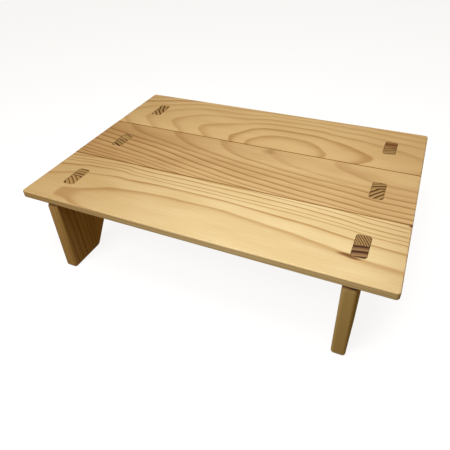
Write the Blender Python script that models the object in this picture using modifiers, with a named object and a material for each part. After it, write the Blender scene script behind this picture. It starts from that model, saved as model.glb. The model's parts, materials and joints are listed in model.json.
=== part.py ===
"""Low knock-down camp table in softwood.

Three loose boards lie side by side on two leg panels. Every panel is glued up
from upright staves, and three tenons along its top pass right through the
boards, one in each. The boards lift straight up off the tenons, and the table
packs flat. Metres, +Z up, origin on the ground under the middle of the table.
"""

import math

import bmesh
import bpy
from mathutils import Matrix, Vector

# Boards of the top
TABLE_LENGTH = 0.600
FRONT_BOARD_WIDTH = 0.138
MIDDLE_BOARD_WIDTH = 0.137
BACK_BOARD_WIDTH = 0.150
BOARD_THICKNESS = 0.013
BOARD_GAP = 0.0005
BOARD_CORNER_RADIUS = 0.0055
BOARD_EDGE_ROUND = 0.0025
SEAM_EDGE_ROUND = 0.0006

# Leg panels
LEG_HEIGHT = 0.141
LEG_THICKNESS = 0.021
LEG_OVERHANG = 0.0485
LEG_EDGE_ROUND = 0.0045
LEG_CORNER_RADIUS = 0.007
STAVES_PER_LEG = 6
GLUE_LINE = 0.0001

# Cut-out that leaves a foot at the front and at the back of a panel
FOOT_LENGTH = 0.0705
FOOT_HEEL_RADIUS = 0.010
CUT_OUT_HEIGHT = 0.075
CUT_OUT_SLOPE = math.radians(55)
CUT_OUT_RADIUS = 0.020

# Through tenons and the mortises that they stand in
TENON_LENGTH = 0.047
FRONT_TENON_SET_BACK = 0.0
MIDDLE_TENON_SET_BACK = 0.002
BACK_TENON_SET_BACK = 0.002
TENON_CLEARANCE = 0.0004
TENON_RECESS = 0.0003
SEAT_GAP = 0.0003

# Fineness of the rounded shapes
ARC_STEP = math.radians(18)
ROUND_SEGMENTS = 3
SHARP_ANGLE = math.radians(35)
WELD_DISTANCE = 1e-6
FLAT_ANGLE = 1e-4

# Sizes that follow from the ones above
BOARD_WIDTHS = {
    "front_board": FRONT_BOARD_WIDTH,
    "middle_board": MIDDLE_BOARD_WIDTH,
    "back_board": BACK_BOARD_WIDTH,
}
TENON_SET_BACKS = {
    "front_board": FRONT_TENON_SET_BACK,
    "middle_board": MIDDLE_TENON_SET_BACK,
    "back_board": BACK_TENON_SET_BACK,
}
TABLE_DEPTH = sum(BOARD_WIDTHS.values()) + BOARD_GAP * (len(BOARD_WIDTHS) - 1)
BOARD_BOTTOM = LEG_HEIGHT + SEAT_GAP
TABLE_TOP = BOARD_BOTTOM + BOARD_THICKNESS
TENON_TOP = TABLE_TOP - TENON_RECESS
LEG_CENTRE = TABLE_LENGTH / 2 - LEG_OVERHANG - LEG_THICKNESS / 2
LEG_PLACES = {"left_leg": -LEG_CENTRE, "right_leg": LEG_CENTRE}
TRIM_MARGIN = 4 * LEG_EDGE_ROUND

# Finishes: linear colour, roughness and metallic value of each piece of wood
FINISHES = {
    "front_board": ((0.66, 0.47, 0.24), 0.55, 0.0),
    "middle_board": ((0.56, 0.36, 0.17), 0.55, 0.0),
    "back_board": ((0.60, 0.41, 0.20), 0.55, 0.0),
    "left_leg": ((0.46, 0.30, 0.14), 0.60, 0.0),
    "right_leg": ((0.48, 0.32, 0.15), 0.60, 0.0),
}
STAVE_TONES = (1.00, 0.90, 1.06, 0.94, 1.03, 0.88)


def clear_scene():
    for obj in list(bpy.data.objects):
        bpy.data.objects.remove(obj, do_unlink=True)


def new_collection(name, hidden=False):
    collection = bpy.data.collections.new(name)
    collection.hide_render = hidden
    bpy.context.scene.collection.children.link(collection)
    return collection


def wood(name, finish, tone=1.0):
    """A plain Principled material in the piece's own colour, lighter or darker by its tone."""
    colour, roughness, metallic = FINISHES[finish]
    material = bpy.data.materials.new(name)
    material.use_nodes = True
    shader = material.node_tree.nodes["Principled BSDF"]
    shader.inputs["Base Color"].default_value = (*(tone * part for part in colour), 1.0)
    shader.inputs["Roughness"].default_value = roughness
    shader.inputs["Metallic"].default_value = metallic
    return material


def board_spans():
    """Front and back edge of each board along Y, from the front of the table to its back."""
    spans = {}
    front = -TABLE_DEPTH / 2
    for name, width in BOARD_WIDTHS.items():
        spans[name] = (front, front + width)
        front += width + BOARD_GAP
    return spans


def tenon_centres():
    """Middle of each board's tenons along Y, set back a little from the middle of the board."""
    return {
        name: (front + back) / 2 + TENON_SET_BACKS[name]
        for name, (front, back) in board_spans().items()
    }


def rounded_outline(corners):
    """Points of a closed outline whose corners, given as (u, v, radius), are rounded with arcs."""
    points = []
    for index, (u, v, radius) in enumerate(corners):
        corner = Vector((u, v))
        if radius == 0:
            points.append(corner)
            continue
        before = Vector(corners[index - 1][:2]) - corner
        after = Vector(corners[(index + 1) % len(corners)][:2]) - corner
        before.normalize()
        after.normalize()
        half_angle = before.angle(after) / 2
        centre = corner + (before + after).normalized() * radius / math.sin(half_angle)
        start = corner + before * radius / math.tan(half_angle) - centre
        turn = start.angle_signed(corner + after * radius / math.tan(half_angle) - centre)
        steps = max(2, round(abs(turn) / ARC_STEP))
        for step in range(steps + 1):
            points.append(centre + Matrix.Rotation(-turn * step / steps, 2) @ start)
    return points


def slab(name, points, thickness, place, collection):
    """A flat outline thickened evenly about its plane, as a closed mesh with two whole faces."""
    curve = bpy.data.curves.new(name, "CURVE")
    curve.dimensions = "2D"
    curve.fill_mode = "BOTH"
    curve.extrude = thickness / 2
    spline = curve.splines.new("POLY")
    spline.points.add(len(points) - 1)
    for target, point in zip(spline.points, points):
        target.co = (point.x, point.y, 0, 1)
    spline.use_cyclic_u = True
    drawing = bpy.data.objects.new(name + "_outline", curve)
    drawing.matrix_world = place
    collection.objects.link(drawing)
    bpy.context.view_layer.update()

    graph = bpy.context.evaluated_depsgraph_get()
    mesh = bpy.data.meshes.new_from_object(drawing.evaluated_get(graph))
    mesh.name = name
    bm = bmesh.new()
    bm.from_mesh(mesh)
    bmesh.ops.remove_doubles(bm, verts=bm.verts, dist=WELD_DISTANCE)
    flat = [edge for edge in bm.edges if edge.is_manifold and edge.calc_face_angle() < FLAT_ANGLE]
    bmesh.ops.dissolve_edges(bm, edges=flat, use_verts=False)
    bmesh.ops.recalc_face_normals(bm, faces=bm.faces)
    bm.to_mesh(mesh)
    bm.free()

    block = bpy.data.objects.new(name, mesh)
    block.matrix_world = drawing.matrix_world
    collection.objects.link(block)
    bpy.data.objects.remove(drawing, do_unlink=True)
    bpy.data.curves.remove(curve)
    return block


def round_over(block, radius, radius_at):
    """Rounds the rims of a slab's two faces. radius_at gives the radius wanted at a rim edge's middle."""
    bm = bmesh.new()
    bm.from_mesh(block.data)
    weight = bm.edges.layers.float.new("bevel_weight_edge")
    for edge in bm.edges:
        start, end = edge.verts
        if start.co.z * end.co.z > 0:
            edge[weight] = radius_at((start.co + end.co) / 2) / radius
    bm.to_mesh(block.data)
    bm.free()
    bevel = block.modifiers.new("rounded rims", "BEVEL")
    bevel.limit_method = "WEIGHT"
    bevel.width = radius
    bevel.segments = ROUND_SEGMENTS
    bevel.use_clamp_overlap = False


def cut(block, tool, operation):
    boolean = block.modifiers.new(tool.name, "BOOLEAN")
    boolean.operation = operation
    boolean.solver = "EXACT"
    boolean.object = tool


def as_cutter(tool):
    tool.hide_render = True
    tool.display_type = "WIRE"


def box_outline(low, high, radii):
    """A rectangle between two corners. The radii go front left, front right, back right, back left."""
    places = [(low[0], low[1]), (high[0], low[1]), (high[0], high[1]), (low[0], high[1])]
    return rounded_outline([(u, v, radius) for (u, v), radius in zip(places, radii)])


def make_board(name, span, parts, cutters):
    """One board of the top, with a mortise near each end. Its seams are rounded less than its rims."""
    front, back = span
    middle = (front + back) / 2
    half_width = (back - front) / 2
    rim = TABLE_DEPTH / 2 - BOARD_GAP
    outer = {side for side, edge in ((-1, front), (1, back)) if abs(edge) > rim}
    front_radius = BOARD_CORNER_RADIUS if -1 in outer else 0
    back_radius = BOARD_CORNER_RADIUS if 1 in outer else 0

    half_length = TABLE_LENGTH / 2
    outline = box_outline(
        (-half_length, -half_width),
        (half_length, half_width),
        (front_radius, front_radius, back_radius, back_radius),
    )
    place = Matrix.Translation((0, middle, BOARD_BOTTOM + BOARD_THICKNESS / 2))
    board = slab(name, outline, BOARD_THICKNESS, place, parts)

    def radius_at(point):
        side = math.copysign(1, point.y)
        on_seam = math.isclose(abs(point.y), half_width, abs_tol=BOARD_GAP) and side not in outer
        return SEAM_EDGE_ROUND if on_seam else BOARD_EDGE_ROUND

    round_over(board, BOARD_EDGE_ROUND, radius_at)
    half_mortise = (
        LEG_THICKNESS / 2 + TENON_CLEARANCE,
        TENON_LENGTH / 2 + TENON_CLEARANCE,
    )
    opening = box_outline(
        (-half_mortise[0], -half_mortise[1]),
        half_mortise,
        [LEG_EDGE_ROUND + TENON_CLEARANCE] * 4,
    )
    tenon = tenon_centres()[name]
    for leg, x in LEG_PLACES.items():
        place = Matrix.Translation((x, tenon, board.location.z))
        tool = slab(f"{name}_{leg}_mortise", opening, 2 * BOARD_THICKNESS, place, cutters)
        as_cutter(tool)
        cut(board, tool, "DIFFERENCE")
    board.data.materials.append(wood(name, name))


def panel_outline():
    """Side view of a leg panel: two feet, the cut-out between them, and the tenons along the top."""
    half_depth = TABLE_DEPTH / 2
    heel = half_depth - FOOT_LENGTH
    shoulder_end = heel - CUT_OUT_HEIGHT / math.tan(CUT_OUT_SLOPE)
    corners = [
        (-half_depth, 0, LEG_CORNER_RADIUS),
        (-heel, 0, FOOT_HEEL_RADIUS),
        (-shoulder_end, CUT_OUT_HEIGHT, CUT_OUT_RADIUS),
        (shoulder_end, CUT_OUT_HEIGHT, CUT_OUT_RADIUS),
        (heel, 0, FOOT_HEEL_RADIUS),
        (half_depth, 0, LEG_CORNER_RADIUS),
        (half_depth, LEG_HEIGHT, LEG_CORNER_RADIUS),
    ]
    for centre in reversed(tenon_centres().values()):
        back = centre + TENON_LENGTH / 2
        front = centre - TENON_LENGTH / 2
        corners.append((back, LEG_HEIGHT, 0))
        corners.append((back, TENON_TOP + TRIM_MARGIN, 0))
        corners.append((front, TENON_TOP + TRIM_MARGIN, 0))
        corners.append((front, LEG_HEIGHT, 0))
    corners.append((-half_depth, LEG_HEIGHT, LEG_CORNER_RADIUS))
    return rounded_outline(corners)


def make_leg(name, x, parts, cutters):
    """One leg panel, rounded all round as one and kept as the staves that it is glued up from."""
    upright = Matrix(((0, 0, 1, x), (1, 0, 0, 0), (0, 1, 0, 0), (0, 0, 0, 1)))
    panel = slab(name + "_panel", panel_outline(), LEG_THICKNESS, upright, cutters)
    round_over(panel, LEG_EDGE_ROUND, lambda point: LEG_EDGE_ROUND)
    as_cutter(panel)

    leg = bpy.data.objects.new(name, None)
    leg.location.x = x
    parts.objects.link(leg)
    stave_width = TABLE_DEPTH / STAVES_PER_LEG
    for index in range(STAVES_PER_LEG):
        front = -TABLE_DEPTH / 2 + index * stave_width + GLUE_LINE / 2
        back = front + stave_width - GLUE_LINE
        if index == 0:
            front -= TRIM_MARGIN
        if index == STAVES_PER_LEG - 1:
            back += TRIM_MARGIN
        low = Vector((-LEG_THICKNESS, front, -TRIM_MARGIN))
        high = Vector((LEG_THICKNESS, back, TENON_TOP))
        stave_name = f"{name}_stave_{index + 1}"
        bpy.ops.mesh.primitive_cube_add(size=1, location=(0, 0, 0))
        stave = bpy.context.active_object
        stave.name = stave_name
        stave.data.name = stave_name
        stave.data.transform(Matrix.Translation((low + high) / 2) @ Matrix.Diagonal((*(high - low), 1)))
        for collection in stave.users_collection:
            collection.objects.unlink(stave)
        parts.objects.link(stave)
        stave.parent = leg
        cut(stave, panel, "INTERSECT")
        tone = STAVE_TONES[index % len(STAVE_TONES)]
        stave.data.materials.append(wood(stave_name, name, tone))


def shade_round_faces(parts):
    for obj in parts.objects:
        if obj.type == "MESH":
            obj.data.shade_smooth()
            obj.data.set_sharp_from_angle(angle=SHARP_ANGLE)


def main():
    clear_scene()
    parts = new_collection("camp_table")
    cutters = new_collection("cutters", hidden=True)
    for name, span in board_spans().items():
        make_board(name, span, parts, cutters)
    for name, x in LEG_PLACES.items():
        make_leg(name, x, parts, cutters)
    shade_round_faces(parts)
    bpy.context.view_layer.update()


main()
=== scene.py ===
# %% [markdown]
# # A low camp table in pale softwood
#
# The real table packs flat. Three loose boards drop over tenons on two leg panels, and only
# the fit of the wood holds them together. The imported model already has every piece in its
# place, so this lesson loads it as a fixed frame and gives each piece finer edges and real
# wood grain. Sizes are in metres unless a name says otherwise.

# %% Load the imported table
import json
import math

import bmesh
import bpy
from mathutils import Matrix, Vector


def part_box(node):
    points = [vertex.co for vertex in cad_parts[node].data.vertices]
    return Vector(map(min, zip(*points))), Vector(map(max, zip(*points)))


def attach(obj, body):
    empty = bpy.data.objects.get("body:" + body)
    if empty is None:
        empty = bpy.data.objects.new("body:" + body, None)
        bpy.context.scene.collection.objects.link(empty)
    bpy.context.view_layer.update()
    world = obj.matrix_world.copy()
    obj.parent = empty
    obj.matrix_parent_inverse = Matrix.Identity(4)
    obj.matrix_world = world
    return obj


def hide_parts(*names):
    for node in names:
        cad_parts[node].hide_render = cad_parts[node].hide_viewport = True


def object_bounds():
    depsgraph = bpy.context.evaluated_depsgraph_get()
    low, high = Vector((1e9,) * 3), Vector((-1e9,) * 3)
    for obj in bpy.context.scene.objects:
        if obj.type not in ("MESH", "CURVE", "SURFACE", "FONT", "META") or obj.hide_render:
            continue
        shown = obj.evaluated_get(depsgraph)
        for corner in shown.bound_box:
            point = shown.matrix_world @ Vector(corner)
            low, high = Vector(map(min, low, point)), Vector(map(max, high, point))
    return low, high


MM = 0.001
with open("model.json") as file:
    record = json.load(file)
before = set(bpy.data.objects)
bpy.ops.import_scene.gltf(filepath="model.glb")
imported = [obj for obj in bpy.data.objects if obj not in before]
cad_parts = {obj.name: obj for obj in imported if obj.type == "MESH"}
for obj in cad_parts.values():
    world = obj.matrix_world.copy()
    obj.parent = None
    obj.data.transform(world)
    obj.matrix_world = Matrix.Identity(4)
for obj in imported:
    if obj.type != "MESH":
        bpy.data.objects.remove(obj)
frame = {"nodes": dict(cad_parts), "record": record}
cad_low, cad_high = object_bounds()
print("CAD box in mm:", [round(size / MM, 1) for size in cad_high - cad_low])

# %% [markdown]
# ## Camera
#
# The photograph looks down on the table from its front right corner, from close by, so the
# near corner is much larger than the far one. A camera can be turned by eye until it looks
# right, but a fit is surer: the place, the turn and the lens here make the edges of the top,
# the seams and the feet fall where the photograph has them. The table sits a little above
# the middle of the picture, which is what the small shift is for.

# %% Camera
CAMERA_PLACE = (0.2669, -0.6193, 0.5606)
CAMERA_TURN_DEGREES = (53.317, 1.987, 24.050)
CAMERA_LENS_MM = 35.36
CAMERA_SHIFT = -0.0444

scene = bpy.context.scene
camera = bpy.data.objects.new("camera", bpy.data.cameras.new("camera"))
camera.location = CAMERA_PLACE
camera.rotation_euler = [math.radians(turn) for turn in CAMERA_TURN_DEGREES]
camera.data.lens = CAMERA_LENS_MM
camera.data.shift_y = CAMERA_SHIFT
scene.collection.objects.link(camera)
scene.camera = camera
scene.view_settings.view_transform = "Standard"
print("camera stands", round(camera.location.length, 2), "m from the table's foot")

# %% [markdown]
# ## Small helpers for shader nodes
#
# The floor and every piece of wood get their looks from shader nodes. Placing a node, setting
# it and wiring it takes several lines each time, so four short helpers do it: one feeds a socket
# with a link or a plain value, one places a node and feeds it, one does a sum, and one mixes two
# colours.

# %% Helpers for shader nodes
MIX_COLOUR_SOCKETS = (0, 6, 7)
MIX_COLOUR_RESULT = 2


def feed(tree, socket, value):
    """Links a socket to another one, or sets it to a plain value."""
    if isinstance(value, bpy.types.NodeSocket):
        tree.links.new(value, socket)
    else:
        socket.default_value = value


def place_node(tree, kind, *values, **settings):
    """Places a node with its settings, and feeds the values to its first sockets."""
    node = tree.nodes.new(kind)
    for setting, value in settings.items():
        setattr(node, setting, value)
    for socket, value in zip(node.inputs, values):
        feed(tree, socket, value)
    return node


def calculate(tree, operation, *values):
    return place_node(tree, "ShaderNodeMath", *values, operation=operation).outputs[0]


def mix_colours(tree, amount, first, second, how="MIX"):
    node = place_node(tree, "ShaderNodeMix", data_type="RGBA", blend_type=how)
    for index, value in zip(MIX_COLOUR_SOCKETS, (amount, first, second)):
        feed(tree, node.inputs[index], value)
    return node.outputs[MIX_COLOUR_RESULT]


print("node helpers ready")

# %% [markdown]
# ## Floor and light
#
# The photograph was taken on plain white, with a big soft light overhead and a little to the
# right, so the top is bright while the edges and legs stay dark. A second light stands high in
# front: it reaches the front edges, but the boards keep it off the tops of the legs, which
# leaves a dark line there. The rest of the room is dim and warm. A white floor would throw
# light up under the table and wash that out. The floor here is therefore hidden from the
# light that bounces, and glows faintly by itself, so that it stays pale all over and still
# takes a soft shadow. From beneath it is clear, so that the underside can be looked at.

# %% Floor
FLOOR_REACH = 6.0
FLOOR_DROP = 0.0001
FLOOR_COLOUR = (0.22, 0.22, 0.22, 1.0)
FLOOR_GLOW = (0.88, 0.88, 0.88, 1.0)
FLOOR_ROUGHNESS = 0.9

level = cad_low.z - FLOOR_DROP
turns = ((-1, -1), (1, -1), (1, 1), (-1, 1))
corners = [(FLOOR_REACH * right, FLOOR_REACH * back, level) for right, back in turns]
floor_mesh = bpy.data.meshes.new("floor")
floor_mesh.from_pydata(corners, [], [(0, 1, 2, 3)])
floor = bpy.data.objects.new("floor", floor_mesh)
scene.collection.objects.link(floor)
floor.visible_diffuse = False
floor.visible_glossy = False

floor_finish = bpy.data.materials.new("floor_paper")
floor_finish.use_nodes = True
floor_tree = floor_finish.node_tree
paper = floor_tree.nodes["Principled BSDF"]
paper.inputs["Base Color"].default_value = FLOOR_COLOUR
paper.inputs["Roughness"].default_value = FLOOR_ROUGHNESS
paper.inputs["Specular IOR Level"].default_value = 0.0
paper.inputs["Emission Color"].default_value = FLOOR_GLOW
paper.inputs["Emission Strength"].default_value = 1.0
beneath = place_node(floor_tree, "ShaderNodeNewGeometry").outputs["Backfacing"]
clear = place_node(floor_tree, "ShaderNodeBsdfTransparent").outputs[0]
choice = place_node(floor_tree, "ShaderNodeMixShader", beneath, paper.outputs[0], clear)
feed(floor_tree, floor_tree.nodes["Material Output"].inputs["Surface"], choice.outputs[0])
floor_mesh.materials.append(floor_finish)
print("floor reaches", FLOOR_REACH, "m each way")

# %% Lights
LIGHTS = {
    "overhead_softbox": ((0.16, -0.20, 1.123), 0.75, 9.0),
    "high_front_softbox": ((-0.45, -1.25, 1.303), 0.70, 11.6),
}
LIGHT_TARGET = Vector((0.0, 0.0, cad_high.z))
SKY_LIGHT = (0.185, 0.128, 0.046, 1.0)
SKY_SEEN = (1.0, 1.0, 1.0, 1.0)

for name, (place, width, power) in LIGHTS.items():
    light = bpy.data.lights.new(name, "AREA")
    light.shape = "SQUARE"
    light.size = width
    light.energy = power
    lamp = bpy.data.objects.new(name, light)
    lamp.location = place
    lamp.rotation_euler = (LIGHT_TARGET - lamp.location).to_track_quat("-Z", "Y").to_euler()
    scene.collection.objects.link(lamp)

sky = bpy.data.worlds.new("studio")
scene.world = sky
sky.use_nodes = True
sky_tree = sky.node_tree
lighting = sky_tree.nodes["Background"]
lighting.inputs["Color"].default_value = SKY_LIGHT
backdrop = place_node(sky_tree, "ShaderNodeBackground", SKY_SEEN)
seen = place_node(sky_tree, "ShaderNodeLightPath").outputs["Is Camera Ray"]
choice = place_node(sky_tree, "ShaderNodeMixShader", seen, lighting.outputs[0], backdrop.outputs[0])
feed(sky_tree, sky_tree.nodes["World Output"].inputs["Surface"], choice.outputs[0])
print("lights:", ", ".join(LIGHTS))

# %% [markdown]
# ## Measure the frame
#
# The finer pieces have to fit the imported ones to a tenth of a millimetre, or the joints would
# clash. The sizes could be typed in again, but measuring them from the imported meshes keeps
# the two alike: a mortise is the only thing well inside a board's outline, and a tenon is
# the only thing of a leg that stands above the underside of a board.

# %% Measure mortises and tenons
INSIDE_MARGIN = 0.020
BOARDS = ("front_board", "middle_board", "back_board")
SIDES = {"left_leg": -1, "right_leg": 1}
bodies = frame["record"]["behaviour"]["bodies"]


def points_of(node):
    return [vertex.co for vertex in frame["nodes"][node].data.vertices]


def span(values):
    values = list(values)
    return min(values), max(values)


def mortise_box(board, side):
    """Lowest and highest corner, in plan, of the mortise near one end of a board."""
    low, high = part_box(board)
    walls = [
        point for point in points_of(board)
        if INSIDE_MARGIN < side * point.x < high.x - INSIDE_MARGIN
        and low.y + INSIDE_MARGIN < point.y < high.y - INSIDE_MARGIN
    ]
    left, right = span(point.x for point in walls)
    front, back = span(point.y for point in walls)
    return Vector((left, front)), Vector((right, back))


def tenon_span(leg, board):
    """Front and back of the tenon that stands in a board."""
    low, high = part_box(board)
    return span(
        point.y for stave in bodies[leg] for point in points_of(stave)
        if point.z > low.z and low.y < point.y < high.y
    )


mortises = {
    (board, leg): mortise_box(board, side)
    for board in BOARDS for leg, side in SIDES.items()
}
tenons = {leg: [tenon_span(leg, board) for board in BOARDS] for leg in SIDES}
table_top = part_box("middle_board")[1].z
print("tenons in mm:", [[round(edge / MM, 1) for edge in tenon] for tenon in tenons["left_leg"]])

# %% [markdown]
# ## Blocks with rounded rims
#
# Board and leg panel are made alike: a flat outline is sawn from stock of one thickness, and
# then a router rounds the rims. In Blender an outline can be extruded and bevelled, and bevel
# weights let one edge be rounded more than its neighbour, as the outer rims are here and the
# seams between the boards aren't. Six segments to a quarter round keep the rims smooth.

# %% Outline and block
ARC_STEP = math.radians(9)


def rounded_outline(corners):
    """Points of a closed outline whose corners, given as (u, v, radius), are rounded with arcs."""
    points = []
    for index, (u, v, radius) in enumerate(corners):
        corner = Vector((u, v))
        if radius == 0:
            points.append(corner)
            continue
        before = (Vector(corners[index - 1][:2]) - corner).normalized()
        after = (Vector(corners[(index + 1) % len(corners)][:2]) - corner).normalized()
        half_angle = before.angle(after) / 2
        reach = radius / math.tan(half_angle)
        centre = corner + (before + after).normalized() * radius / math.sin(half_angle)
        start = corner + before * reach - centre
        turn = start.angle_signed(corner + after * reach - centre)
        steps = max(2, round(abs(turn) / ARC_STEP))
        for step in range(steps + 1):
            points.append(centre + Matrix.Rotation(-turn * step / steps, 2) @ start)
    return points


def box_outline(low, high, radii):
    """A rectangle between two corners, with radii from the front left round by the front right."""
    places = [(low[0], low[1]), (high[0], low[1]), (high[0], high[1]), (low[0], high[1])]
    return rounded_outline([(u, v, radius) for (u, v), radius in zip(places, radii)])


def sawn_block(name, outline, thickness, place):
    """An outline thickened evenly about its own plane."""
    bm = bmesh.new()
    base = bm.faces.new([bm.verts.new((point.x, point.y, -thickness / 2)) for point in outline])
    grown = bmesh.ops.extrude_face_region(bm, geom=[base])["geom"]
    raised = [part for part in grown if isinstance(part, bmesh.types.BMVert)]
    bmesh.ops.translate(bm, verts=raised, vec=(0, 0, thickness))
    bmesh.ops.recalc_face_normals(bm, faces=bm.faces)
    mesh = bpy.data.meshes.new(name)
    bm.to_mesh(mesh)
    bm.free()
    block = bpy.data.objects.new(name, mesh)
    block.matrix_world = place
    scene.collection.objects.link(block)
    return block


print("corners turn", round(math.degrees(ARC_STEP)), "degrees a step")

# %% Router and saw
ROUND_SEGMENTS = 6


def round_rims(block, radius, radius_at):
    """Rounds the rims of a block's two faces. radius_at gives the radius at a rim edge's middle."""
    bm = bmesh.new()
    bm.from_mesh(block.data)
    weight = bm.edges.layers.float.new("bevel_weight_edge")
    for edge in bm.edges:
        start, end = edge.verts
        if start.co.z * end.co.z > 0:
            edge[weight] = radius_at((start.co + end.co) / 2) / radius
    bm.to_mesh(block.data)
    bm.free()
    bevel = block.modifiers.new("rounded rims", "BEVEL")
    bevel.limit_method = "WEIGHT"
    bevel.width = radius
    bevel.segments = ROUND_SEGMENTS
    bevel.use_clamp_overlap = False


def cut_with(block, tool, operation):
    cut = block.modifiers.new(tool.name, "BOOLEAN")
    cut.operation = operation
    cut.solver = "EXACT"
    cut.object = tool


def settle(block, tools=()):
    """Turns a block's modifiers into plain mesh in the table's frame, and puts its tools away."""
    bpy.context.view_layer.update()
    graph = bpy.context.evaluated_depsgraph_get()
    mesh = bpy.data.meshes.new_from_object(block.evaluated_get(graph))
    mesh.transform(block.matrix_world)
    block.modifiers.clear()
    block.data = mesh
    block.matrix_world = Matrix.Identity(4)
    for tool in tools:
        bpy.data.objects.remove(tool, do_unlink=True)


print("one quarter round has", ROUND_SEGMENTS, "segments")

# %% Sandpaper
EASE_SEGMENTS = 3
ROUND_PROFILE = 0.5
SQUARE_SLACK = math.radians(5)
SHARP_ANGLE = math.radians(32)


def ease_rim(piece, width, is_rim):
    """Takes the sharp corner off the square edges that is_rim picks, as sandpaper does."""
    bm = bmesh.new()
    bm.from_mesh(piece.data)
    rim = [
        edge for edge in bm.edges
        if edge.is_manifold
        and abs(edge.calc_face_angle() - math.pi / 2) < SQUARE_SLACK
        and is_rim((edge.verts[0].co + edge.verts[1].co) / 2)
    ]
    bmesh.ops.bevel(
        bm, geom=rim, offset=width, offset_type="OFFSET", segments=EASE_SEGMENTS,
        profile=ROUND_PROFILE, affect="EDGES", clamp_overlap=True,
    )
    bm.to_mesh(piece.data)
    bm.free()
    return len(rim)


def shade(piece):
    """Smooth shading that keeps flat faces flat and square corners square."""
    piece.data.shade_smooth()
    piece.data.set_sharp_from_angle(angle=SHARP_ANGLE)
    weighted = piece.modifiers.new("flat faces stay flat", "WEIGHTED_NORMAL")
    weighted.keep_sharp = True


print("eased edges get", EASE_SEGMENTS, "segments")

# %% [markdown]
# ## The three boards
#
# Each board is one solid plank. Its outer rims are rounded with a router, the seams between
# the boards are only eased so that they close up to a thin dark line, and a mortise with
# rounded corners goes right through near each end. The mortise is cut with a Boolean, as a
# chisel would, and its rim is then broken with a narrow bevel, because a real mortise is
# sanded so that the board drops over the tenon without splintering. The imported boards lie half
# a millimetre apart. Real boards swell until they all but touch, so each one grows by a hair at
# its seams, and no light comes up between them.

# %% Boards
FLUSH = 1e-5
BOARD_CORNER_RADIUS = 0.0055
BOARD_EDGE_ROUND = 0.0025
SEAM_EDGE_ROUND = 0.0003
SEAM_GROWTH = 0.0002
MORTISE_CORNER_RADIUS = 0.0049
MORTISE_EASE = 0.00025
PLANKS = {"front_board": "front_plank", "middle_board": "middle_plank", "back_board": "back_plank"}


def is_flush(value, face):
    return math.isclose(value, face, abs_tol=FLUSH)


def make_plank(board):
    low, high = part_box(board)
    outer_front = is_flush(low.y, cad_low.y)
    outer_back = is_flush(high.y, cad_high.y)
    low.y -= 0 if outer_front else SEAM_GROWTH
    high.y += 0 if outer_back else SEAM_GROWTH
    middle = (low + high) / 2
    half = (high - low) / 2
    thickness = 2 * half.z
    front_radius = BOARD_CORNER_RADIUS if outer_front else 0
    back_radius = BOARD_CORNER_RADIUS if outer_back else 0
    radii = (front_radius, front_radius, back_radius, back_radius)
    outline = box_outline((-half.x, -half.y), (half.x, half.y), radii)
    plank = sawn_block(PLANKS[board], outline, thickness, Matrix.Translation(middle))

    def rim_radius(point):
        on_seam = is_flush(abs(point.y), half.y)
        outer = outer_front if point.y < 0 else outer_back
        return SEAM_EDGE_ROUND if on_seam and not outer else BOARD_EDGE_ROUND

    round_rims(plank, BOARD_EDGE_ROUND, rim_radius)
    openings = [mortises[board, leg] for leg in SIDES]
    chisels = []
    for index, (start, end) in enumerate(openings):
        opening = box_outline(start, end, [MORTISE_CORNER_RADIUS] * 4)
        at_middle = Matrix.Translation((0, 0, middle.z))
        chisel = sawn_block(f"{plank.name}_chisel_{index}", opening, 2 * thickness, at_middle)
        chisels.append(chisel)
        cut_with(plank, chisel, "DIFFERENCE")
    settle(plank, chisels)

    def on_mortise(point):
        return any(
            start.x - FLUSH <= point.x <= end.x + FLUSH
            and start.y - FLUSH <= point.y <= end.y + FLUSH
            for start, end in openings
        )

    eased = ease_rim(plank, MORTISE_EASE, on_mortise)
    shade(plank)
    print(plank.name, len(plank.data.polygons), "faces,", eased, "mortise edges eased")
    return plank


pieces = {board: make_plank(board) for board in BOARDS}

# %% [markdown]
# ## The two leg panels
#
# A panel as deep as the table is glued up from six upright staves, then sawn to its outline
# and rounded all round as one. That order matters: a rounded rim runs across the glue lines
# without a step. So the whole panel is shaped first, as a tool, and each stave is what the
# panel and the stave's own strip of wood have in common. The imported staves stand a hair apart
# for the glue. Here each strip reaches to the middle of that gap, so that no light comes through.

# %% Panel outline
LEG_EDGE_ROUND = 0.0045
LEG_CORNER_RADIUS = 0.007
FOOT_LENGTH = 0.0705
FOOT_HEEL_RADIUS = 0.010
CUT_OUT_HEIGHT = 0.075
CUT_OUT_SLOPE = math.radians(55)
CUT_OUT_RADIUS = 0.020
TRIM_MARGIN = 4 * LEG_EDGE_ROUND


def shoulder_height(leg):
    """Top of a panel beside its tenons, read between the front of the panel and the first tenon."""
    before_tenon = tenons[leg][0][0] - LEG_EDGE_ROUND
    front_stave = bodies[leg][0]
    return max(point.z for point in points_of(front_stave) if point.y < before_tenon)


def panel_outline(leg):
    """Side view of a leg panel: two feet, the cut-out between them, and tenons along the top."""
    half_depth = cad_high.y
    heel = half_depth - FOOT_LENGTH
    cut_out_top = heel - CUT_OUT_HEIGHT / math.tan(CUT_OUT_SLOPE)
    top = shoulder_height(leg)
    corners = [
        (-half_depth, 0, LEG_CORNER_RADIUS),
        (-heel, 0, FOOT_HEEL_RADIUS),
        (-cut_out_top, CUT_OUT_HEIGHT, CUT_OUT_RADIUS),
        (cut_out_top, CUT_OUT_HEIGHT, CUT_OUT_RADIUS),
        (heel, 0, FOOT_HEEL_RADIUS),
        (half_depth, 0, LEG_CORNER_RADIUS),
        (half_depth, top, LEG_CORNER_RADIUS),
    ]
    for front, back in reversed(tenons[leg]):
        corners.append((back, top, 0))
        corners.append((back, table_top + TRIM_MARGIN, 0))
        corners.append((front, table_top + TRIM_MARGIN, 0))
        corners.append((front, top, 0))
    corners.append((-half_depth, top, LEG_CORNER_RADIUS))
    return rounded_outline(corners)


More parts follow.
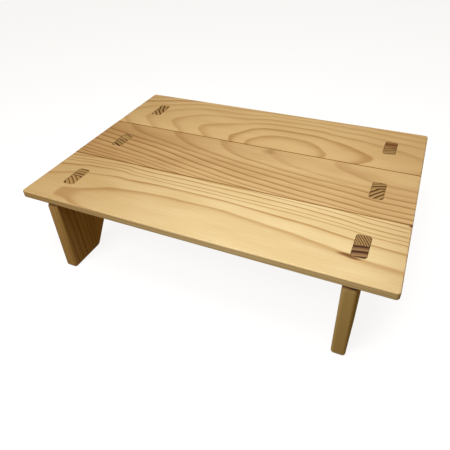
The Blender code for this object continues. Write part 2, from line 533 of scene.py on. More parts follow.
print("panel shoulders stand at", round(shoulder_height("left_leg") / MM, 1), "mm")

# %% Staves
TENON_EASE = 0.0004


def make_staves(leg):
    boxes = {stave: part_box(stave) for stave in bodies[leg]}
    low_x, high_x = span(corner.x for pair in boxes.values() for corner in pair)
    upright = Matrix(((0, 0, 1, (low_x + high_x) / 2), (1, 0, 0, 0), (0, 1, 0, 0), (0, 0, 0, 1)))
    panel = sawn_block(leg + "_panel", panel_outline(leg), high_x - low_x, upright)
    round_rims(panel, LEG_EDGE_ROUND, lambda point: LEG_EDGE_ROUND)
    first, second = (boxes[stave] for stave in bodies[leg][:2])
    half_glue = (second[0].y - first[1].y) / 2
    staves = {}
    for stave, (low, high) in boxes.items():
        front = low.y - (TRIM_MARGIN if is_flush(low.y, cad_low.y) else half_glue)
        back = high.y + (TRIM_MARGIN if is_flush(high.y, cad_high.y) else half_glue)
        strip = box_outline((low_x - TRIM_MARGIN, front), (high_x + TRIM_MARGIN, back), [0] * 4)
        bottom = low.z - TRIM_MARGIN
        place = Matrix.Translation((0, 0, (bottom + high.z) / 2))
        name = stave.replace("_leg_stave_", "_panel_stave_")
        staves[stave] = sawn_block(name, strip, high.z - bottom, place)
        cut_with(staves[stave], panel, "INTERSECT")
    for stave, piece in staves.items():
        settle(piece)
        low, high = boxes[stave]

        def on_tenon_end(point):
            in_glue_line = min(abs(point.y - low.y), abs(point.y - high.y)) < half_glue + FLUSH
            return point.z > high.z - FLUSH and not in_glue_line

        eased = ease_rim(piece, TENON_EASE, on_tenon_end)
        shade(piece)
        print(piece.name, len(piece.data.polygons), "faces,", eased, "tenon edges eased")
    bpy.data.objects.remove(panel, do_unlink=True)
    return staves


for leg in SIDES:
    pieces.update(make_staves(leg))

# %% [markdown]
# ## What makes wood look like wood
#
# A tree grows a pale, soft layer in spring and a narrow dark one in late summer. A sawn face
# cuts through these layers, and where a layer comes up through the face it draws the arches
# and loops of the grain. A picture of grain wrapped round the board would break at its edges.
# Here the layers fill the whole block instead: at each point in the wood the shader counts
# how many rings lie between it and the heart of the tree, and the fraction of that count says
# whether the wood there is pale or dark. Faces, edges and ends then agree by themselves.
#
# Several materials need the same effects, so each effect is a node group, made once.

# %% Node group helpers
CURVE_MIDDLE = (0.5, 0.5)


def new_group(name, inputs, outputs):
    """An empty shader group. Returns the tree with the sockets that come in and go out."""
    tree = bpy.data.node_groups.new(name, "ShaderNodeTree")
    for way, sockets in (("INPUT", inputs), ("OUTPUT", outputs)):
        for socket, kind in sockets.items():
            tree.interface.new_socket(name=socket, in_out=way, socket_type="NodeSocket" + kind)
    entry = tree.nodes.new("NodeGroupInput")
    leave = tree.nodes.new("NodeGroupOutput")
    return tree, entry.outputs, leave.inputs


def use_group(tree, group, **values):
    node = place_node(tree, "ShaderNodeGroup", node_tree=group)
    for socket, value in values.items():
        feed(tree, node.inputs[socket], value)
    return node.outputs


def vector_maths(tree, operation, *values):
    return place_node(tree, "ShaderNodeVectorMath", *values, operation=operation).outputs


def split_axes(tree, place):
    return place_node(tree, "ShaderNodeSeparateXYZ", place).outputs


def join_axes(tree, *values):
    return place_node(tree, "ShaderNodeCombineXYZ", *values).outputs[0]


def scale_place(tree, place, sizes):
    """Stretches a place so that a pattern on it repeats about once in each of the given sizes."""
    return vector_maths(tree, "DIVIDE", place, sizes)["Vector"]


def noise(tree, place, detail, roughness=0.5):
    node = place_node(tree, "ShaderNodeTexNoise", place)
    node.inputs["Scale"].default_value = 1.0
    node.inputs["Detail"].default_value = detail
    node.inputs["Roughness"].default_value = roughness
    return node.outputs["Fac"]


def ramp(tree, value, start, end, how="SMOOTHSTEP"):
    """Rises from 0 to 1 as the value goes from start to end."""
    node = place_node(tree, "ShaderNodeMapRange", value, start, end, interpolation_type=how)
    return node.outputs["Result"]


def drawn_curve(tree, value, points):
    """Looks a value up on a smooth curve through (value, result) points."""
    low, high = span(result for _, result in points)
    first = points[0][0]
    last = points[-1][0]
    node = place_node(tree, "ShaderNodeFloatCurve")
    feed(tree, node.inputs["Value"], ramp(tree, value, first, last, "LINEAR"))
    curve = node.mapping.curves[0]
    while len(curve.points) < len(points):
        curve.points.new(*CURVE_MIDDLE)
    for point, (place, result) in zip(curve.points, points):
        point.location = ((place - first) / (last - first), (result - low) / (high - low))
        point.handle_type = "AUTO_CLAMPED"
    node.mapping.update()
    return calculate(tree, "MULTIPLY_ADD", node.outputs[0], high - low, low)


print("group helpers ready")

# %% [markdown]
# ## Growth rings
#
# Within one ring the pale early wood slowly darkens outwards, ends in a dark line at the whole
# count, and soon turns pale again where the next spring began. In wide rings nearly all of it
# is pale, so the sharpness says how far the dark part is squeezed towards the end. Not all
# years are alike, so each line gets a strength of its own from its number and the log's seed.

# %% Growth rings
RING_SHADE = [
    (0.0, 0.0), (0.30, 0.03), (0.52, 0.12), (0.70, 0.35), (0.84, 0.75), (0.94, 0.97), (1.0, 1.0),
]
SPRING_SHARE = 0.08
WEAKEST_RING = 0.35

growth_rings, come_in, go_out = new_group(
    "growth_rings",
    dict.fromkeys(("Count", "Sharpness", "Contrast", "Seed"), "Float"),
    {"Latewood": "Float"},
)
phase = calculate(growth_rings, "FRACT", come_in["Count"])
squeezed = calculate(growth_rings, "POWER", phase, come_in["Sharpness"])
darkening = drawn_curve(growth_rings, squeezed, RING_SHADE)
paling = ramp(growth_rings, phase, SPRING_SHARE, 0.0)
dark_part = calculate(growth_rings, "MAXIMUM", darkening, paling)
number = calculate(growth_rings, "ROUND", come_in["Count"])
number = calculate(growth_rings, "ADD", number, come_in["Seed"])
year = place_node(growth_rings, "ShaderNodeTexWhiteNoise", noise_dimensions="1D")
feed(growth_rings, year.inputs["W"], number)
vigour = year.outputs["Value"]
strength = calculate(growth_rings, "MULTIPLY_ADD", vigour, 1 - WEAKEST_RING, WEAKEST_RING)
strength = calculate(growth_rings, "MULTIPLY", strength, come_in["Contrast"])
feed(growth_rings, go_out["Latewood"], calculate(growth_rings, "MULTIPLY", dark_part, strength))
print("growth_rings:", len(growth_rings.nodes), "nodes")

# %% [markdown]
# ## Wavy fibres and fine streaks
#
# No fibre runs dead straight, so a slow noise, long along the grain and short across it, bends
# the place at which the rings are counted. A second, much finer noise gives the streaks that
# the plane leaves along the fibres, a third the small brown flecks of resin, and a very slow
# one lets the tone drift over the board. Places are in millimetres: along the fibres, across
# them, and into the wood.

# %% Wavy fibres
WAVE_SIZE_MM = (95.0, 26.0, 26.0)
RIPPLE_SIZE_MM = (26.0, 7.0, 7.0)
RIPPLE_SHARE = 0.22
WAVE_DETAIL = 1.0
NOISE_MEAN = 0.5

wavy_fibres, come_in, go_out = new_group(
    "wavy_fibres", {"Place": "Vector", "Wave": "Float"}, {"Place": "Vector"}
)


def sideways(size, share):
    """A push across the fibres, to one side or the other."""
    wander = noise(wavy_fibres, scale_place(wavy_fibres, come_in["Place"], size), WAVE_DETAIL)
    centred = calculate(wavy_fibres, "SUBTRACT", wander, NOISE_MEAN)
    reach = calculate(wavy_fibres, "MULTIPLY", come_in["Wave"], share / NOISE_MEAN)
    return join_axes(wavy_fibres, 0.0, calculate(wavy_fibres, "MULTIPLY", centred, reach), 0.0)


bent = come_in["Place"]
for size, share in ((WAVE_SIZE_MM, 1.0), (RIPPLE_SIZE_MM, RIPPLE_SHARE)):
    bent = vector_maths(wavy_fibres, "ADD", bent, sideways(size, share))["Vector"]
feed(wavy_fibres, go_out["Place"], bent)
print("wavy_fibres:", len(wavy_fibres.nodes), "nodes")

# %% Fine fibres
FIBRE_EFFECTS = {
    "Streaks": {"size_mm": (70.0, 1.5, 1.5), "detail": 3.0, "roughness": 0.6, "fade": (0.36, 0.68)},
    "Flecks": {"size_mm": (5.0, 0.9, 0.9), "detail": 1.0, "roughness": 0.5, "fade": (0.70, 0.80)},
    "Drift": {"size_mm": (190.0, 45.0, 45.0), "detail": 2.0, "roughness": 0.5, "fade": (0.32, 0.68)},
}

fine_fibres, come_in, go_out = new_group(
    "fine_fibres", {"Place": "Vector"}, dict.fromkeys(FIBRE_EFFECTS, "Float")
)
for effect, values in FIBRE_EFFECTS.items():
    place = scale_place(fine_fibres, come_in["Place"], values["size_mm"])
    pattern = noise(fine_fibres, place, values["detail"], values["roughness"])
    feed(fine_fibres, go_out[effect], ramp(fine_fibres, pattern, *values["fade"]))
print("fine_fibres:", len(fine_fibres.nodes), "nodes")

# %% [markdown]
# ## End grain, rims, and painted shade round a joint
#
# Where the saw cut across the fibres the open ends drink in oil and turn darker, which is why
# the tenons stand out in the pale boards. Which way a face points tells whether it is end
# grain: its normal then lies along the fibres. The same normal finds the rounded rims, where
# it is tilted between two axes; they turn a little paler, partly sanded and partly a painted
# highlight. A joint's narrow gap lies in shade, so a thin line of painted shade darkens the
# colour by the distance to the mortise's wall. It fades a few millimetres down, and the wood
# deep in a joint is not darkened.

# %% End grain and edges
END_GRAIN_FADE = (0.45, 0.90)
EDGE_FADE = (0.995, 0.80)

end_grain, come_in, go_out = new_group("end_grain", {"Fibre": "Vector"}, {"Amount": "Float"})
facing = place_node(end_grain, "ShaderNodeTexCoord").outputs["Normal"]
along = vector_maths(end_grain, "DOT_PRODUCT", facing, come_in["Fibre"])["Value"]
along = calculate(end_grain, "ABSOLUTE", along)
feed(end_grain, go_out["Amount"], ramp(end_grain, along, *END_GRAIN_FADE))

# Rounded rims turn a little paler: partly sanded wear, partly a painted highlight.
worn_and_highlit_rims, come_in, go_out = new_group("worn_and_highlit_rims", {}, {"Amount": "Float"})
facing = place_node(worn_and_highlit_rims, "ShaderNodeTexCoord").outputs["Normal"]
straight = 0.0
for part in split_axes(worn_and_highlit_rims, facing):
    part = calculate(worn_and_highlit_rims, "ABSOLUTE", part)
    straight = calculate(worn_and_highlit_rims, "MAXIMUM", straight, part)
feed(worn_and_highlit_rims, go_out["Amount"], ramp(worn_and_highlit_rims, straight, *EDGE_FADE))
print("end_grain and worn_and_highlit_rims ready")

# %% Painted shade line round a joint
# Painted shade: a thin dark line at a joint's wall, where the narrow gap lies in shade.
gap_shade_line, come_in, go_out = new_group(
    "gap_shade_line",
    {"Place": "Vector", "Centre": "Vector", "Half": "Vector", "Corner": "Float", "Reach": "Float"},
    {"Amount": "Float"},
)
# Both ends of a board are alike, so the place is folded over onto the right half first.
x, y = split_axes(gap_shade_line, come_in["Place"])[:2]
folded = join_axes(gap_shade_line, calculate(gap_shade_line, "ABSOLUTE", x), y, 0.0)
offset = vector_maths(gap_shade_line, "SUBTRACT", folded, come_in["Centre"])["Vector"]
offset = vector_maths(gap_shade_line, "ABSOLUTE", offset)["Vector"]
beyond = vector_maths(gap_shade_line, "SUBTRACT", offset, come_in["Half"])["Vector"]
in_plan = split_axes(gap_shade_line, beyond)[:2]
past = [calculate(gap_shade_line, "ADD", value, come_in["Corner"]) for value in in_plan]
outside = [calculate(gap_shade_line, "MAXIMUM", value, 0.0) for value in past]
squares = [calculate(gap_shade_line, "MULTIPLY", value, value) for value in outside]
round_part = calculate(gap_shade_line, "SQRT", calculate(gap_shade_line, "ADD", *squares))
flat_part = calculate(gap_shade_line, "MINIMUM", calculate(gap_shade_line, "MAXIMUM", *past), 0.0)
distance = calculate(gap_shade_line, "ADD", round_part, flat_part)
distance = calculate(gap_shade_line, "SUBTRACT", distance, come_in["Corner"])
distance = calculate(gap_shade_line, "ABSOLUTE", distance)
nearness = calculate(gap_shade_line, "DIVIDE", distance, come_in["Reach"])
feed(gap_shade_line, go_out["Amount"], ramp(gap_shade_line, nearness, 1.0, 0.0))
print("gap_shade_line:", len(gap_shade_line.nodes), "nodes")

# %% [markdown]
# ## One finish for all the wood
#
# The wood is planed, sanded and lightly oiled. Its colour starts as early wood or late wood
# by the ring count, drifts a little, and is then changed by one layer after another: streaks,
# flecks, rims made paler by sanding and by a painted highlight, end grain, and what is special
# to the piece, such as painted shade round a joint. Each layer multiplies the colour below it,
# as a thin stain does. On end grain the dark lines take up oil as well, so they turn darker
# there than on a planed face. Dark late wood is denser, so it is a little shinier and stands a
# little proud of the soft early wood, which the bump shows.

# %% Wood finish
STREAK_TONE = (0.86, 0.78, 0.66, 1.0)
FLECK_TONE = (0.62, 0.48, 0.34, 1.0)
FLECK_STRENGTH = 0.35
# Rims are painted a little paler: partly sanded wear, partly a painted highlight.
RIM_WEAR_AND_HIGHLIGHT_TONE = (1.06, 1.05, 1.03, 1.0)
RIM_WEAR_AND_HIGHLIGHT_STRENGTH = 0.6
END_LINE_TONE = (0.48, 0.40, 0.34, 1.0)
WOOD_ROUGHNESS = 0.60
LATEWOOD_POLISH = 0.12
END_ROUGHENING = 0.15
WOOD_SHINE = 0.35
GRAIN_RELIEF = 0.0002
RELIEF_STRENGTH = 0.35
STREAK_HEIGHT = 0.4


def oiled_wood(material, place, count, contrast, fibre, tones, own_layers):
    """Finishes a material. The piece's own layers are given as (mask, strength, tone)."""
    tree = material.node_tree
    shader = tree.nodes["Principled BSDF"]
    latewood = use_group(
        tree, growth_rings,
        Count=count, Sharpness=tones["sharpness"], Contrast=contrast, Seed=tones["seed"],
    )["Latewood"]
    fibres = use_group(tree, fine_fibres, Place=place)
    ends = use_group(tree, end_grain, Fibre=fibre)["Amount"]
    edges = use_group(tree, worn_and_highlit_rims)["Amount"]

    colour = mix_colours(tree, latewood, tones["early"], tones["late"])
    colour = mix_colours(tree, fibres["Drift"], colour, tones["drift"], "MULTIPLY")
    layers = [
        (fibres["Streaks"], tones["streaks"], STREAK_TONE),
        (fibres["Flecks"], FLECK_STRENGTH, FLECK_TONE),
        (edges, RIM_WEAR_AND_HIGHLIGHT_STRENGTH, RIM_WEAR_AND_HIGHLIGHT_TONE),
        (ends, 1.0, tones["ends"]),
        (calculate(tree, "MULTIPLY", latewood, ends), 1.0, END_LINE_TONE),
    ]
    for mask, strength, tone in layers + own_layers:
        amount = calculate(tree, "MULTIPLY", mask, strength)
        colour = mix_colours(tree, amount, colour, tone, "MULTIPLY")
    feed(tree, shader.inputs["Base Color"], colour)

    roughness = calculate(tree, "MULTIPLY_ADD", latewood, -LATEWOOD_POLISH, WOOD_ROUGHNESS)
    roughness = calculate(tree, "MULTIPLY_ADD", ends, END_ROUGHENING, roughness)
    feed(tree, shader.inputs["Roughness"], roughness)
    height = calculate(tree, "MULTIPLY_ADD", fibres["Streaks"], STREAK_HEIGHT, latewood)
    relief = place_node(tree, "ShaderNodeBump", RELIEF_STRENGTH, GRAIN_RELIEF)
    feed(tree, relief.inputs["Height"], height)
    feed(tree, shader.inputs["Normal"], relief.outputs[0])
    shader.inputs["Specular IOR Level"].default_value = WOOD_SHINE


def place_in_mm(tree):
    """Where a point lies in the table's own frame, in millimetres."""
    place = place_node(tree, "ShaderNodeTexCoord").outputs["Object"]
    return vector_maths(tree, "MULTIPLY", place, [1 / MM] * 3)["Vector"]


print("bump is", GRAIN_RELIEF / MM, "mm deep")

# %% [markdown]
# ## Grain of the boards
#
# All three boards are sawn flat from the outer part of the log. The ring count of such a board
# has three parts: it grows along the board as the log tapers and bends, it grows sideways from
# a ridge where the saw ran level with the rings, and it grows steadily with depth. The first
# two parts are curves through a few points read off the grain. On the front board the ridge
# lies near the front edge and the sapwood there is wide and plain. On the middle board it lies
# along the back seam, and on the back board it wanders and closes the rings into long loops.
#
# Near the ridge the saw met the rings at a flat angle, so the lines there are broad and calm.
# Two more curves along the board say where its tone is warmer and where its lines are stronger.
# Two boards carry small brown marks: resin, and painted shade where their corners meet at the
# right, in the notch that rounded corners leave. Each mark is a soft oval.

# %% Grain curves of the boards, in millimetres and rings
BOARD_GRAIN = {
    "front_board": {
        "ridge": [
            (-300, -193), (-245, -190), (-200, -189), (-180, -189.5), (-150, -195), (-100, -198),
            (0, -200), (100, -200.5), (150, -201.5), (200, -204.5), (255, -210), (300, -212),
        ],
        "along": [
            (-310, 1.55), (-258, 1.24), (-239, 1.00), (-220, 0.96), (-200, 0.85), (-180, 0.725),
            (-150, 0.50), (-125, 0.38), (-100, 0.26), (-50, 0.14), (0, 0.12), (70, 0.25),
            (100, 0.335), (150, 0.44), (200, 0.535), (255, 0.59), (310, 0.605),
        ],
        "sideways": [
            (0, 0.0), (8, 0.01), (13, 0.04), (19, 0.12), (31, 0.30), (46, 0.55), (60, 0.90),
            (66, 1.16), (74, 1.48), (84, 1.93), (94, 2.90), (102, 3.90), (114, 4.90), (123, 5.90),
            (140, 7.4),
        ],
    },
    "middle_board": {
        "ridge": [
            (-300, 75), (-200, 73), (-150, 70.5), (-100, 66), (-50, 61.5), (0, 59), (50, 58),
            (165, 57), (300, 55),
        ],
        "along": [
            (-300, 6.35), (-265, 6.00), (-155, 4.93), (-56, 4.00), (42, 3.00), (100, 2.50),
            (165, 2.00), (200, 1.78), (250, 1.45), (300, 1.40),
        ],
        "sideways": [
            (0, 0.0), (8, 0.01), (15, 0.05), (28, 0.20), (42, 0.50), (51, 0.95), (59, 1.42),
            (66, 1.97), (82, 3.05), (97, 4.00), (111, 5.00), (123, 6.00), (132, 7.00), (141, 8.00),
            (150, 9.1),
        ],
    },
    "back_board": {
        "ridge": [
            (-300, 108), (-190, 108), (-124, 98), (-51, 82), (0, 68), (30, 63),
            (60, 62), (100, 66), (130, 72), (160, 78), (215, 88), (300, 92),
        ],
        "along": [
            (-316, 6.0), (-254, 5.0), (-191, 4.0), (-124, 3.0), (-51, 2.0), (-14, 1.0), (20, 0.35),
            (60, 0.15), (100, 0.35), (137, 1.0), (180, 1.55), (215, 2.0), (300, 2.65),
        ],
        "sideways": [
            (0, 0.0), (9, 0.04), (18, 0.17), (35, 0.48), (53, 0.85), (65, 1.28), (80, 1.90),
            (98, 2.75), (119, 3.90), (134, 4.85), (147, 5.80), (170, 7.5),
        ],
    },
}
print("curves drawn for", ", ".join(BOARD_GRAIN))

# %% Tones of the boards
BOARD_TONES = {
    "front_board": {
        "early": (0.775, 0.625, 0.350, 1.0),
        "late": (0.50, 0.300, 0.115, 1.0),
        "drift": (0.93, 0.90, 0.84, 1.0),
        "sharpness": 2.4,
        "seed": 306,
        "streaks": 0.5,
        "contrast": [(-300, 1.35), (-200, 1.40), (-100, 1.60), (120, 1.60), (200, 1.60), (300, 1.45)],
        "calm": 0.58,
        "calm_band": (58, 82),
        "warmth": [
            (-300, 1.0), (-215, 0.88), (-130, 0.62), (-40, 0.30), (60, 0.05), (200, 0.0), (300, 0.50),
        ],
    },
    "middle_board": {
        "early": (0.68, 0.492, 0.248, 1.0),
        "late": (0.42, 0.235, 0.088, 1.0),
        "drift": (0.88, 0.83, 0.78, 1.0),
        "sharpness": 1.4,
        "seed": 927,
        "streaks": 0.8,
        "contrast": [(-300, 1.28), (300, 1.12)],
        "calm": 0.45,
        "calm_band": (20, 80),
        "warmth": [(-300, 0.95), (-160, 0.55), (0, 0.18), (120, 0.0), (300, 0.10)],
    },
    "back_board": {
        "early": (0.69, 0.495, 0.243, 1.0),
        "late": (0.48, 0.285, 0.115, 1.0),
        "drift": (0.93, 0.90, 0.86, 1.0),
        "sharpness": 1.1,
        "seed": 106,
        "streaks": 0.5,
        "contrast": [(-300, 1.85), (-80, 1.60), (-30, 1.50), (230, 1.40), (300, 1.25)],
        "calm": 0.66,
        "calm_band": (55, 95),
        "warmth": [(-300, 0.10), (0, 0.0), (300, 0.25)],
    },
}
print("tones chosen for", ", ".join(BOARD_TONES))

# %% Ring count of a board
BOARD_WAVE_MM = 2.2
RINGS_PER_MM_OF_DEPTH = 0.17


def board_rings(tree, in_wood, board):
    """Ring count in a board, with the place along it and the distance from its ridge."""
    bent = use_group(tree, wavy_fibres, Place=in_wood, Wave=BOARD_WAVE_MM)["Place"]
    along, across, inward = split_axes(tree, bent)
    grain = BOARD_GRAIN[board]
    from_ridge = calculate(tree, "SUBTRACT", across, drawn_curve(tree, along, grain["ridge"]))
    from_ridge = calculate(tree, "ABSOLUTE", from_ridge)
    side_count = drawn_curve(tree, from_ridge, grain["sideways"])
    count = calculate(tree, "ADD", drawn_curve(tree, along, grain["along"]), side_count)
    count = calculate(tree, "MULTIPLY_ADD", inward, RINGS_PER_MM_OF_DEPTH, count)
    return count, along, from_ridge


print("a board gains", RINGS_PER_MM_OF_DEPTH, "rings a millimetre of depth")

# %% Painted shade lines and stains
FAR_AWAY_MM = 2000.0
SEAM_SHADE_REACH_MM = 1.9
GAP_SHADE_DEPTH_MM = 3.0
STAINS_AND_CORNER_SHADE = {
    "front_board": [
        ((226, -168.0), (19, 5.2), 1.0),
        ((236, -171.5), (14, 3.6), 0.9),
        # Painted shade in the notch where the front and middle boards meet at the right.
        ((299, -77.5), (6, 4.5), 1.0),
    ],
    # The second mark on the middle board is painted shade at the same corner.
    "middle_board": [((40, 51.0), (17, 14.0), 0.35), ((299, -74.0), (6, 2.5), 1.0)],
}
OVAL_CORE = 0.2


def mortise_shade_line(tree, place, board, leg, reach):
    """Painted shade, strongest at the wall of the mortise where a leg's tenon comes through a board.
    """
    start, end = mortises[board, leg]
    centre = (start + end) / 2 / MM
    half = (end - start) / 2 / MM
    return use_group(
        tree, gap_shade_line, Place=place, Centre=(abs(centre.x), centre.y, 0.0), Half=(*half, 0.0),
        Corner=MORTISE_CORNER_RADIUS / MM, Reach=reach,
    )["Amount"]


def seam_shade_line(tree, place, board):
    """Painted shade, strongest where a board meets the next one. An edge that meets none is put far
    away.
    """
    low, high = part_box(board)
    front = -FAR_AWAY_MM if is_flush(low.y, cad_low.y) else low.y / MM
    back = FAR_AWAY_MM if is_flush(high.y, cad_high.y) else high.y / MM
    return use_group(
        tree, gap_shade_line, Place=place, Centre=(0.0, (front + back) / 2, 0.0),
        Half=(FAR_AWAY_MM, (back - front) / 2, 0.0), Corner=0.0, Reach=SEAM_SHADE_REACH_MM,
    )["Amount"]


def near_top(tree, depth):
    """Fades a joint's painted shade out below the top face."""
    return ramp(tree, depth, GAP_SHADE_DEPTH_MM, 0.0)


def soft_oval(tree, place, centre, half):
    """A soft oval, darkest in its middle."""
    offset = vector_maths(tree, "SUBTRACT", place, (*centre, table_top / MM))["Vector"]
    offset = scale_place(tree, offset, (*half, FAR_AWAY_MM))
    return ramp(tree, vector_maths(tree, "LENGTH", offset)["Value"], 1.0, OVAL_CORE)


print("stains:", {board: len(spots) for board, spots in STAINS_AND_CORNER_SHADE.items()})

# %% Board materials
ALONG_X = (1.0, 0.0, 0.0)
# Painted shade: the tone that darkens joints and the leg tops, where they lie in shade.
PAINTED_SHADE_TONE = (0.30, 0.19, 0.11, 1.0)
MORTISE_SHADE_REACH_MM = 0.6
MORTISE_SHADE_STRENGTH = 0.15
BOARD_ENDS = (0.72, 0.62, 0.50, 1.0)
WARM_TONE = (0.75, 0.65, 0.555, 1.0)
# Painted shade along the seams between the boards, where the narrow gap lies in shade.
SEAM_SHADE_TONE = (0.40, 0.23, 0.04, 1.0)
# Tone of the resin stains and of the painted shade at the seam's right end.
STAIN_AND_SHADE_TONE = (0.38, 0.23, 0.125, 1.0)


def board_contrast(tree, along, from_ridge, tones):
    """How strong the rings show: calm near the ridge, and changing along the board."""
    calm = tones["calm"]
    past_calm = ramp(tree, from_ridge, *tones["calm_band"])
    contrast = calculate(tree, "MULTIPLY_ADD", past_calm, 1 - calm, calm)
    return calculate(tree, "MULTIPLY", contrast, drawn_curve(tree, along, tones["contrast"]))


def board_wood(board):
    material = bpy.data.materials.new(PLANKS[board] + "_wood")
    material.use_nodes = True
    tree = material.node_tree
    place = place_in_mm(tree)
    x, y, z = split_axes(tree, place)
    depth = calculate(tree, "SUBTRACT", table_top / MM, z)
    in_wood = join_axes(tree, x, y, depth)
    count, along, from_ridge = board_rings(tree, in_wood, board)

    tones = BOARD_TONES[board] | {"ends": BOARD_ENDS}
    # Painted shade round the mortises, faint on the board's side.
    mortise = mortise_shade_line(tree, place, board, "right_leg", MORTISE_SHADE_REACH_MM)
    # Painted shade along the seams, faded out below the top face.
    seam = calculate(tree, "MULTIPLY", seam_shade_line(tree, place, board), near_top(tree, depth))
    own_layers = [
        (drawn_curve(tree, along, tones["warmth"]), 1.0, WARM_TONE),
        (mortise, MORTISE_SHADE_STRENGTH, PAINTED_SHADE_TONE),
        (seam, 1.0, SEAM_SHADE_TONE),
    ]
    # Resin stains, and painted shade where the seam ends at the right.
    for centre, half, strength in STAINS_AND_CORNER_SHADE.get(board, []):
        own_layers.append((soft_oval(tree, place, centre, half), strength, STAIN_AND_SHADE_TONE))
    contrast = board_contrast(tree, along, from_ridge, tones)
    oiled_wood(material, in_wood, count, contrast, ALONG_X, tones, own_layers)
    return material


for board in BOARDS:
    pieces[board].data.materials.append(board_wood(board))
print("board materials:", [pieces[board].data.materials[0].name for board in BOARDS])

# %% [markdown]
# ## Grain of the staves
#
# Each stave comes from another part of the log, so on the tenon ends the rings of the two
# staves meet at an angle, and that is how the glue line shows. A stave's rings are arcs about
# a heart that lies outside it. Its values say from which side the heart looks at it, how wide
# its rings are, where the first one falls, and how dark and how red the stave is.
#
# End grain shows its rings more strongly than a planed side does, so a stave has one contrast
# for its ends and one for its sides, and some have a tone of their own at the ends. Right under
# the boards hardly any light gets in, so the top of a leg is darkened there with painted shade.

# %% Stave values
STAVE_ENDS = (0.84, 0.82, 0.84, 1.0)
RED_ENDS = (0.60, 0.48, 0.53, 1.0)
DARK_ENDS = (0.52, 0.42, 0.42, 1.0)
PLAIN_ENDS = (0.765, 0.79, 0.835, 1.0)
STAVE_USUAL = {
    "first": 0.0, "taper": 0.004, "sharpness": 0.6, "seed": 17,
    "side_contrast": 0.7, "end_contrast": 1.7, "streaks": 0.5,
    "tone": 1.0, "red": 0.0, "ends": STAVE_ENDS, "drift": (0.90, 0.86, 0.80, 1.0),
}
STAVE_GRAIN = {
    "left_leg": [
        {
            "angle": 42, "ring_mm": 6.5, "first": 0.20, "tone": 0.94, "red": 0.3,
            "sharpness": 1.0, "end_contrast": 1.9,
        },
        {
            "angle": 90, "ring_mm": 6.5, "first": 0.10, "tone": 1.15, "red": 0.2,
            "ends": PLAIN_ENDS, "side_contrast": 0.4,
        },
        {"angle": 62, "ring_mm": 7.0, "first": 0.40, "tone": 0.90},
        {"angle": 75, "ring_mm": 14.0, "first": 0.05, "tone": 0.90, "end_contrast": 0.5},
        {"angle": 32, "ring_mm": 8.0, "first": 0.20, "sharpness": 0.8},
        {"angle": 32, "ring_mm": 8.0, "first": 0.55, "sharpness": 0.8},
    ],
    "right_leg": [
        {
            "angle": 104, "ring_mm": 11.0, "first": 0.04, "taper": 0.0, "red": -0.35,
            "ends": RED_ENDS, "side_contrast": 0.2,
        },
        {"angle": 42, "ring_mm": 3.4, "tone": 0.90, "sharpness": 1.0, "end_contrast": 2.4},
        {"angle": 148, "ring_mm": 7.5, "first": 0.30, "sharpness": 0.7},
        {"angle": 108, "ring_mm": 7.0, "first": 0.60},
        {"angle": 110, "ring_mm": 6.0, "first": 0.10, "sharpness": 0.9, "end_contrast": 2.4},
        {
            "angle": 95, "ring_mm": 15.0, "first": 0.75, "red": 0.6,
            "ends": DARK_ENDS, "end_contrast": 0.6,
        },
    ],
}
print(sum(len(staves) for staves in STAVE_GRAIN.values()), "staves have values")

# %% Ring count of a stave
STAVE_WAVE_MM = 1.0
HEART_DISTANCE_MM = 120.0


def stave_rings(tree, in_wood, grain):
    """Ring count in a stave, from its distance to the heart and the taper of the log."""
    bent = use_group(tree, wavy_fibres, Place=in_wood, Wave=STAVE_WAVE_MM)["Place"]
    along, across, inward = split_axes(tree, bent)
    turn = math.radians(grain["angle"])
    heart = (-HEART_DISTANCE_MM * math.cos(turn), -HEART_DISTANCE_MM * math.sin(turn))
    steps = [calculate(tree, "SUBTRACT", value, at) for value, at in zip((inward, across), heart)]
    squares = [calculate(tree, "MULTIPLY", step, step) for step in steps]
    radius = calculate(tree, "SQRT", calculate(tree, "ADD", *squares))
    count = calculate(tree, "MULTIPLY_ADD", radius, 1 / grain["ring_mm"], grain["first"])
    return calculate(tree, "MULTIPLY_ADD", along, grain["taper"], count)


print("the heart lies", HEART_DISTANCE_MM, "mm from the middle of a stave")

# %% Painted shade on a stave
# Painted shade round each tenon, where the gap to the mortise lies in shade.
TENON_SHADE_REACH_MM = 0.9
TENON_SHADE_STRENGTH = 0.8
# Painted shade on the top of each leg panel, which lies in the boards' shade.
SHOULDER_SHADE_REACH_MM = 7.5
SHOULDER_FADE_MM = 1.0


def tenon_shade_layer(tree, place, z, leg, board):
    """Painted shade round a tenon, near the top face."""
    line = mortise_shade_line(tree, place, board, leg, TENON_SHADE_REACH_MM)
    depth = calculate(tree, "SUBTRACT", table_top / MM, z)
    line = calculate(tree, "MULTIPLY", line, near_top(tree, depth))
    return line, TENON_SHADE_STRENGTH, PAINTED_SHADE_TONE


def shoulder_shade_layer(tree, z, leg):
    """Painted shade on the top of a panel right under the boards. The tenon above it is not darkened.
    """
    below_shoulder = calculate(tree, "SUBTRACT", shoulder_height(leg) / MM, z)
    in_panel = ramp(tree, below_shoulder, -SHOULDER_FADE_MM, 0.0)
    under_board = ramp(tree, below_shoulder, SHOULDER_SHADE_REACH_MM, 0.0)
    return calculate(tree, "MULTIPLY", under_board, in_panel), 1.0, PAINTED_SHADE_TONE


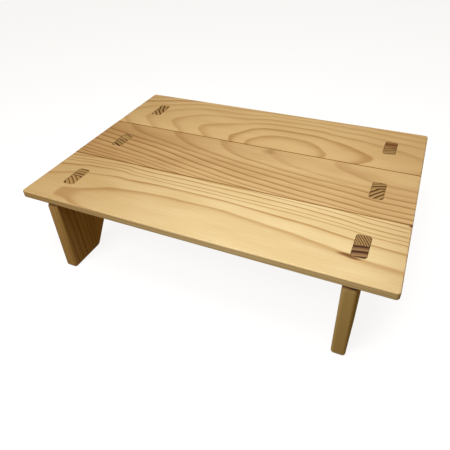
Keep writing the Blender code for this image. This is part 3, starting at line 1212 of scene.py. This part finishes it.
print("panels are dark for", SHOULDER_SHADE_REACH_MM, "mm under the boards")

# %% Stave materials
STAVE_EARLY = (0.58, 0.395, 0.150)
STAVE_LATE = (0.20, 0.085, 0.022)
REDNESS = (1.02, 0.80, 0.66)
ALONG_Z = (0.0, 0.0, 1.0)


def tinted(colour, tone, red):
    """A colour made lighter or darker, and redder."""
    return (*(part * tone * (1 + red * (tint - 1)) for part, tint in zip(colour, REDNESS)), 1.0)


def stave_wood(leg, index, stave):
    grain = STAVE_USUAL | STAVE_GRAIN[leg][index]
    material = bpy.data.materials.new(pieces[stave].name + "_wood")
    material.use_nodes = True
    tree = material.node_tree
    place = place_in_mm(tree)
    x, y, z = split_axes(tree, place)
    low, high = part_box(stave)
    middle = (low + high) / 2 / MM
    across = calculate(tree, "SUBTRACT", y, middle.y)
    inward = calculate(tree, "SUBTRACT", x, middle.x)
    in_wood = join_axes(tree, z, across, inward)
    count = stave_rings(tree, in_wood, grain)

    tones = grain | {
        "early": tinted(STAVE_EARLY, grain["tone"], grain["red"]),
        "late": tinted(STAVE_LATE, grain["tone"], grain["red"]),
    }
    # Painted shade round the tenon and along the panel's top under the boards.
    own_layers = [
        tenon_shade_layer(tree, place, z, leg, BOARDS[index // 2]),
        shoulder_shade_layer(tree, z, leg),
    ]
    ends = use_group(tree, end_grain, Fibre=ALONG_Z)["Amount"]
    on_sides = grain["side_contrast"]
    contrast = calculate(tree, "MULTIPLY_ADD", ends, grain["end_contrast"] - on_sides, on_sides)
    oiled_wood(material, in_wood, count, contrast, ALONG_Z, tones, own_layers)
    return material


for leg in SIDES:
    for index, stave in enumerate(bodies[leg]):
        pieces[stave].data.materials.append(stave_wood(leg, index, stave))
print("stave materials:", sum(len(bodies[leg]) for leg in SIDES))

# %% [markdown]
# ## Hand the pieces over
# ## Swap in the new pieces
# Each new piece takes the place of one imported node, which is hidden, and moves with that node's
# body.

# %% Ride and replace
for body, nodes in bodies.items():
    for node in nodes:
        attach(pieces[node], body)
        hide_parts(node)
